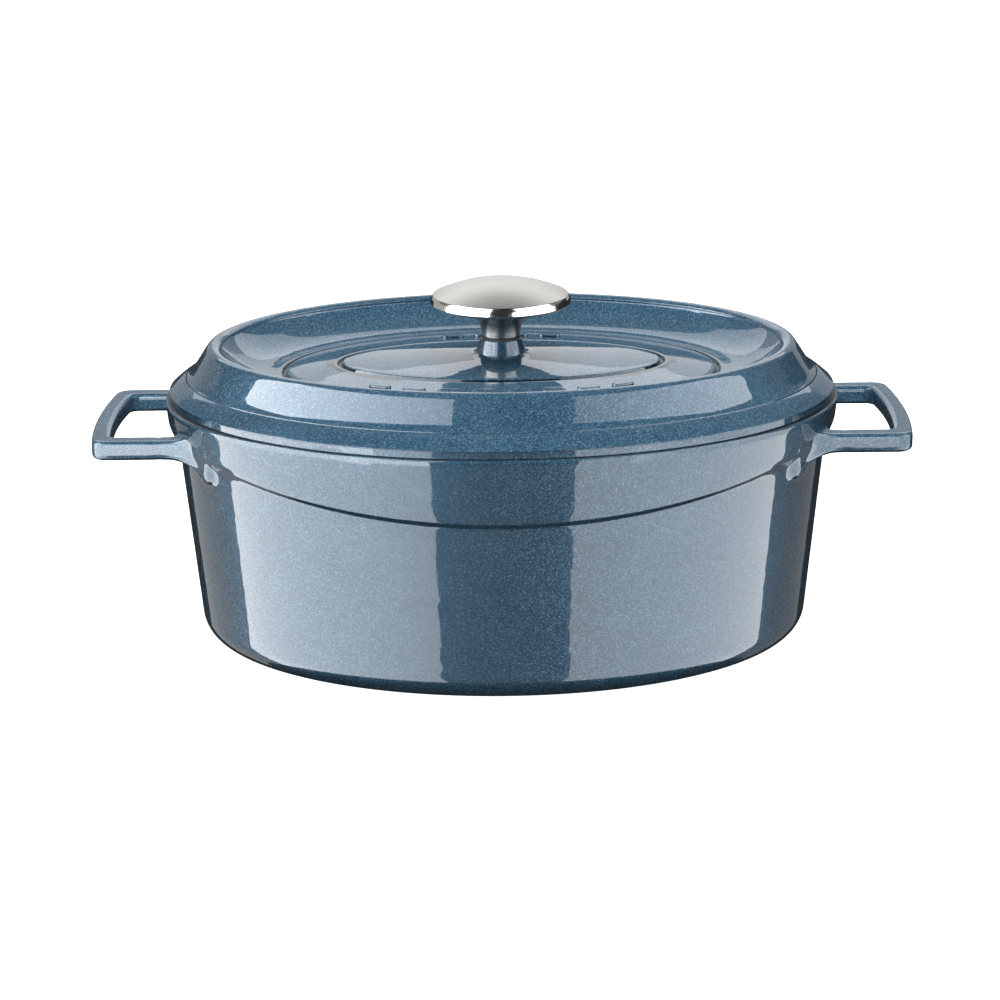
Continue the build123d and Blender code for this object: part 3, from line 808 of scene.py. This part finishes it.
# ---- materials -------------------------------------------------------------------------------
class Graph:
    """A material's node tree, with short names for what the materials here use."""

    def __init__(self, name):
        self.material = bpy.data.materials.new(name)
        self.material.use_nodes = True
        self.tree = self.material.node_tree
        self.tree.nodes.clear()
        self.out = self.add("ShaderNodeOutputMaterial")
        self.shader = self.add("ShaderNodeBsdfPrincipled")
        self.link(self.shader.outputs[0], self.out.inputs["Surface"])
        self.place = self.add("ShaderNodeTexCoord").outputs["Object"]

    def add(self, kind, **values):
        node = self.tree.nodes.new(kind)
        for key, value in values.items():
            setattr(node, key, value)
        return node

    def link(self, source, target):
        self.tree.links.new(source, target)

    def set(self, **values):
        """Constant values of the shader, with _ for each space of a socket's name."""
        for key, value in values.items():
            self.shader.inputs[key.replace("_", " ")].default_value = value

    def noise(self, scale, detail=2.0, stretch=(1, 1, 1)):
        vector = self.place
        if stretch != (1, 1, 1):
            mapping = self.add("ShaderNodeMapping")
            mapping.inputs["Scale"].default_value = stretch
            self.link(vector, mapping.inputs["Vector"])
            vector = mapping.outputs[0]
        node = self.add("ShaderNodeTexNoise")
        node.inputs["Scale"].default_value = scale
        node.inputs["Detail"].default_value = detail
        self.link(vector, node.inputs["Vector"])
        return node.outputs[0]

    def cells(self, scale):
        node = self.add("ShaderNodeTexVoronoi")
        node.inputs["Scale"].default_value = scale
        self.link(self.place, node.inputs["Vector"])
        return node.outputs["Color"]

    def ramp(self, source, stops):
        node = self.add("ShaderNodeValToRGB")
        ramp = node.color_ramp
        while len(ramp.elements) < len(stops):
            ramp.elements.new(0.5)
        for element, (position, colour) in zip(ramp.elements, stops):
            element.position = position
            element.color = (*colour, 1.0)
        self.link(source, node.inputs[0])
        return node.outputs[0]

    def scaled(self, source, low, high):
        node = self.add("ShaderNodeMapRange")
        node.inputs["To Min"].default_value = low
        node.inputs["To Max"].default_value = high
        self.link(source, node.inputs["Value"])
        return node.outputs[0]

    def bump(self, source, strength, distance):
        node = self.add("ShaderNodeBump")
        node.inputs["Strength"].default_value = strength
        node.inputs["Distance"].default_value = distance
        self.link(source, node.inputs["Height"])
        return node.outputs[0]


def shaded(tones, share):
    """Ramp stops with every colour at this share of its brightness."""
    return [(at, tuple(share * v for v in colour)) for at, colour in tones]


def flake_normal(graph):
    """The surface normal, tipped a random way in each flake."""
    colour = graph.cells(FLAKE_SCALE)
    centred = graph.add("ShaderNodeVectorMath", operation="SUBTRACT")
    graph.link(colour, centred.inputs[0])
    centred.inputs[1].default_value = (0.5, 0.5, 0.5)
    sized = graph.add("ShaderNodeVectorMath", operation="SCALE")
    graph.link(centred.outputs[0], sized.inputs[0])
    sized.inputs["Scale"].default_value = FLAKE_TILT
    geometry = graph.add("ShaderNodeNewGeometry")
    added = graph.add("ShaderNodeVectorMath", operation="ADD")
    graph.link(geometry.outputs["Normal"], added.inputs[0])
    graph.link(sized.outputs[0], added.inputs[1])
    unit = graph.add("ShaderNodeVectorMath", operation="NORMALIZE")
    graph.link(added.outputs[0], unit.inputs[0])
    return unit.outputs[0]


def enamel(name, shade=1.0):
    """Metallic blue glaze: fine flakes under a clear gloss; a low shade darkens it where glaze pools,
    deepened into painted shade in the grooves and on the bars' sides.
    """
    g = Graph(name)
    flakes = g.cells(FLAKE_SCALE)
    grey = g.add("ShaderNodeSeparateColor")
    g.link(flakes, grey.inputs[0])
    tone = g.ramp(grey.outputs[0], shaded(FLAKE_TONES, shade))
    cloud = g.ramp(g.noise(60.0, 3.0), [(0.35, (0.90, 0.92, 0.94)), (0.65, (1.06, 1.05, 1.03))])
    mixed = g.add("ShaderNodeMix", data_type="RGBA", blend_type="MULTIPLY")
    mixed.inputs[0].default_value = 1.0
    g.link(tone, mixed.inputs[6])
    g.link(cloud, mixed.inputs[7])
    g.link(mixed.outputs[2], g.shader.inputs["Base Color"])
    g.link(flake_normal(g), g.shader.inputs["Normal"])
    peel = g.bump(g.noise(140.0, 1.0), 0.05, 0.001)
    g.link(peel, g.shader.inputs["Coat Normal"])
    g.set(Metallic=0.17, Roughness=0.32, Specular_IOR_Level=0.0, Coat_Weight=1.0, Coat_Roughness=0.03,
          Coat_IOR=1.5)
    return g.material


def bare_enamel():
    """Matt black ground coat on the rims and the foot ring."""
    g = Graph("matt_black_ground_coat")
    tone = g.ramp(g.noise(900.0, 4.0), [(0.3, (0.006, 0.007, 0.008)), (0.7, (0.018, 0.019, 0.021))])
    g.link(tone, g.shader.inputs["Base Color"])
    g.link(g.scaled(g.noise(500.0, 3.0), 0.42, 0.65), g.shader.inputs["Roughness"])
    g.link(g.bump(g.noise(1600.0, 4.0), 0.35, 0.0004), g.shader.inputs["Normal"])
    return g.material


def inner_enamel():
    """Dark satin enamel inside the pot and under the lid."""
    g = Graph("dark_inner_enamel")
    tone = g.ramp(g.noise(1400.0, 5.0), [(0.25, (0.010, 0.011, 0.013)), (0.75, (0.030, 0.032, 0.036))])
    g.link(tone, g.shader.inputs["Base Color"])
    g.link(g.scaled(g.noise(220.0, 3.0), 0.24, 0.40), g.shader.inputs["Roughness"])
    g.link(g.bump(g.noise(900.0, 3.0), 0.2, 0.0005), g.shader.inputs["Normal"])
    g.set(Coat_Weight=0.4, Coat_Roughness=0.15)
    return g.material


def steel(name, brushed=False, tone=1.0, dull=1.0):
    """Stainless steel, with a linear grain on top where it is brushed."""
    g = Graph(name)
    streaks = g.noise(1.0, 5.0, stretch=(90.0, 3200.0, 90.0))
    cloud = g.noise(45.0, 3.0)
    g.link(g.ramp(streaks, shaded(STEEL_TONES, tone)), g.shader.inputs["Base Color"])
    if brushed:
        g.link(g.scaled(streaks, 0.34, 0.46), g.shader.inputs["Roughness"])
        g.link(g.bump(streaks, 0.05, 0.0002), g.shader.inputs["Normal"])
    else:
        g.link(g.scaled(cloud, 0.08 * dull, 0.16 * dull), g.shader.inputs["Roughness"])
        g.link(g.bump(cloud, 0.03, 0.0004), g.shader.inputs["Normal"])
    g.set(Metallic=1.0)
    return g.material


def rubber():
    """Black silicone of the gasket."""
    g = Graph("black_silicone")
    tone = g.ramp(g.noise(1800.0, 3.0), [(0.3, (0.010, 0.010, 0.010)), (0.7, (0.022, 0.022, 0.022))])
    g.link(tone, g.shader.inputs["Base Color"])
    g.link(g.scaled(g.noise(700.0, 3.0), 0.5, 0.7), g.shader.inputs["Roughness"])
    g.link(g.bump(g.noise(2500.0, 3.0), 0.2, 0.0002), g.shader.inputs["Normal"])
    return g.material


def paint(piece, materials, kinds=None):
    """Gives a piece its materials, and each face the one that its kind says."""
    piece.data.materials.clear()
    for material in materials:
        piece.data.materials.append(material)
    if kinds is not None:
        piece.data.polygons.foreach_set("material_index", np.array(kinds, np.int32))


def repaint_node(name, material):
    """A carried-over CAD node gets its material in its object's slots."""
    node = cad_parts[name]
    if not node.data.materials:
        node.data.materials.append(material)
    for slot in node.material_slots:
        slot.link = "OBJECT"
        slot.material = material


# ---- studio -----------------------------------------------------------------------------------
def glowing_mesh(name, points, faces, shares, strengths):
    """A reflector: seen in the gloss, but it neither lights the base colour nor casts a shadow."""
    mesh = bpy.data.meshes.new(name)
    mesh.from_pydata(points, [], faces)
    layer = mesh.attributes.new("share", "FLOAT", "POINT")
    layer.data.foreach_set("value", np.array(shares, np.float32))
    panel = bpy.data.objects.new(name, mesh)
    bpy.context.scene.collection.objects.link(panel)
    material = bpy.data.materials.new(name)
    material.use_nodes = True
    tree = material.node_tree
    tree.nodes.clear()
    out = tree.nodes.new("ShaderNodeOutputMaterial")
    glow = tree.nodes.new("ShaderNodeEmission")
    read = tree.nodes.new("ShaderNodeAttribute")
    read.attribute_name = "share"
    span = tree.nodes.new("ShaderNodeMapRange")
    span.inputs["To Min"].default_value, span.inputs["To Max"].default_value = strengths
    tree.links.new(read.outputs["Fac"], span.inputs["Value"])
    tree.links.new(span.outputs[0], glow.inputs["Strength"])
    tree.links.new(glow.outputs[0], out.inputs["Surface"])
    mesh.materials.append(material)
    panel.visible_camera = False
    panel.visible_diffuse = False
    panel.visible_shadow = False


def light_panel(name, azimuths, elevations, strengths):
    """A curved white reflector round the object; strength runs from its first to its last azimuth."""
    columns, rows = 24, 8
    points, faces = [], []
    for i in range(rows + 1):
        e = math.radians(elevations[0] + (elevations[1] - elevations[0]) * i / rows)
        for j in range(columns + 1):
            a = math.radians(azimuths[0] + (azimuths[1] - azimuths[0]) * j / columns)
            level = PANEL_RADIUS * math.cos(e)
            points.append((level * math.sin(a), -level * math.cos(a), AIM[2] + PANEL_RADIUS * math.sin(e)))
    for i in range(rows):
        for j in range(columns):
            k = i * (columns + 1) + j
            faces.append([k, k + 1, k + columns + 2, k + columns + 1])
    shares = np.tile(np.linspace(0, 1, columns + 1), rows + 1)
    glowing_mesh(name, points, faces, shares, strengths)


def light_card(name, x_span, y, z_span, strengths):
    """A small upright reflector facing the object's front; strength runs from bottom to top."""
    points = [(x, y, z) for z in z_span for x in x_span]
    glowing_mesh(name, points, [[0, 1, 3, 2]], (0, 0, 1, 1), strengths)


def build_floor():
    """A pale floor that is left out of the gloss, so the reflectors under its level show there."""
    side = 12.0
    mesh = bpy.data.meshes.new("floor")
    mesh.from_pydata([(-side, -side, 0), (side, -side, 0), (side, side, 0), (-side, side, 0)],
                     [], [[0, 1, 2, 3]])
    floor = bpy.data.objects.new("floor", mesh)
    bpy.context.scene.collection.objects.link(floor)
    material = bpy.data.materials.new("pale_floor")
    material.use_nodes = True
    shader = material.node_tree.nodes["Principled BSDF"]
    shader.inputs["Base Color"].default_value = (0.8, 0.8, 0.8, 1)
    shader.inputs["Roughness"].default_value = 0.9
    shader.inputs["Emission Color"].default_value = (1, 1, 1, 1)
    shader.inputs["Emission Strength"].default_value = 1.0
    mesh.materials.append(material)
    floor.visible_glossy = False
    floor.visible_diffuse = False
    floor.visible_shadow = False


def build_world():
    """A faint even white, which keeps the darkest reflections off black."""
    world = bpy.data.worlds.new("studio")
    world.use_nodes = True
    background = world.node_tree.nodes["Background"]
    background.inputs["Color"].default_value = (1.0, 1.0, 1.0, 1.0)
    background.inputs["Strength"].default_value = WORLD_STRENGTH
    bpy.context.scene.world = world


def soft_light(name, place, size, watts):
    """A square lamp that lights colour but isn't mirrored in the gloss."""
    data = bpy.data.lights.new(name, "AREA")
    data.size, data.energy = size, watts
    lamp = bpy.data.objects.new(name, data)
    lamp.location = place
    lamp.rotation_mode = "QUATERNION"
    lamp.rotation_quaternion = (Vector(AIM) - Vector(place)).to_track_quat("-Z", "Y")
    lamp.visible_glossy = False
    lamp.visible_camera = False
    bpy.context.scene.collection.objects.link(lamp)


def build_camera():
    """The camera, at the viewing angle of the product shot."""
    lens, distance = 96.96, 1.2385
    elevation, yaw, roll = (math.radians(v) for v in (17.07, 0.06, -0.63))
    target = Vector((-0.00124, 0.0, 0.06019))
    back = Vector((math.sin(yaw) * math.cos(elevation), -math.cos(yaw) * math.cos(elevation),
                   math.sin(elevation)))
    right = Vector((math.cos(yaw), math.sin(yaw), 0.0))
    up = back.cross(right)
    r = right * math.cos(roll) + up * math.sin(roll)
    u = up * math.cos(roll) - right * math.sin(roll)
    data = bpy.data.cameras.new("camera")
    data.lens, data.sensor_width = lens, 36.0
    data.clip_start, data.clip_end = 0.05, 50.0
    camera = bpy.data.objects.new("camera", data)
    position = target + back * distance
    camera.matrix_world = Matrix((
        (r.x, u.x, back.x, position.x),
        (r.y, u.y, back.y, position.y),
        (r.z, u.z, back.z, position.z),
        (0, 0, 0, 1)))
    bpy.context.scene.collection.objects.link(camera)
    bpy.context.scene.camera = camera


# ---- putting it together -------------------------------------------------------------------------
# The second glaze is a darkened copy: pooled glaze deepened into painted shade for the lid's grooves and
# bar sides.
glaze, pooled_and_shaded_glaze = enamel("blue_flake_enamel"), enamel("pooled_and_shaded_blue_enamel", POOLED_AND_PAINTED_SHADE)
bare, inner_coat = bare_enamel(), inner_enamel()
pot, pot_kinds = build_pot()
paint(pot, [glaze, bare, inner_coat], pot_kinds)
lid, lid_kinds = build_lid()
paint(lid, [glaze, bare, inner_coat, pooled_and_shaded_glaze], lid_kinds)
cap, cap_kinds, stem = build_knob()
paint(cap, [steel("bright_steel"), steel("brushed_steel", brushed=True, tone=0.66)], cap_kinds)
paint(stem, [steel("polished_steel", tone=0.5, dull=2.2)])
plain_steel = steel("plain_steel")
for node_name in ("knob_insert", "flat_washer", "lock_washer", "knob_screw"):
    repaint_node(node_name, plain_steel)
repaint_node("knob_gasket", rubber())

build_floor()
build_world()
build_camera()
bpy.context.scene.view_settings.view_transform = "Standard"

LEFT, RIGHT = (-19.0, -97.5), (19.5, 98.0)          # azimuths of the two big softboxes
SLOPE_LEFT, SLOPE_RIGHT = (-17.5, -97.7), (26.0, 94.6)
LOW, LEVEL, HIGH = (-47.0, -17.0), (-17.0, 18.0), (18.0, 52.0)
PANELS = (
    ("left_softbox_low", LEFT, LOW, (4.5, 7.9)),
    ("left_softbox_level", LEFT, LEVEL, (9.0, 9.0)),
    ("left_softbox_high", SLOPE_LEFT, HIGH, (4.2, 12.0)),
    ("right_softbox_low", RIGHT, LOW, (3.7, 5.7)),
    ("right_softbox_level", RIGHT, LEVEL, (3.9, 3.9)),
    ("right_softbox_high", SLOPE_RIGHT, HIGH, (2.0, 6.1)),
    ("front_floor", (LEFT[0], RIGHT[0]), LOW, (0.42, 0.42)),
    ("left_side_low", (LEFT[1], -140), LOW, (0.8, 0.8)),
    ("left_side_level", (LEFT[1], -140), LEVEL, (0.5, 0.5)),
    ("left_side_high", (LEFT[1], -140), HIGH, (0.2, 0.2)),
    ("right_side_low", (RIGHT[1], 140), LOW, (0.4, 0.4)),
    ("right_side_high", (RIGHT[1], 140), HIGH, (0.25, 0.25)),
    ("backdrop_low", (168, 192), (2, 24), (1.15, 1.15)),
    ("backdrop_low_right", (140, 168), (2, 24), (0.5, 0.5)),
    ("backdrop_low_left", (192, 220), (2, 24), (0.5, 0.5)),
    ("backdrop_high", (140, 220), (24, 50), (2.0, 2.0)),
    ("ceiling", (100, 260), (50, 88), (0.25, 0.25)),
)
for panel in PANELS:
    light_panel(*panel)
light_card("left_arm_card", (-0.235, -0.16), -0.25, (0.033, 0.25), (10.0, 10.0))
light_card("right_arm_card", (0.16, 0.235), -0.25, (0.033, 0.25), (5.0, 5.0))
soft_light("soft_overhead", (0.0, -0.2, 1.7), 1.8, 46.0)
soft_light("soft_front", (0.0, -2.0, 0.6), 1.4, 22.0)
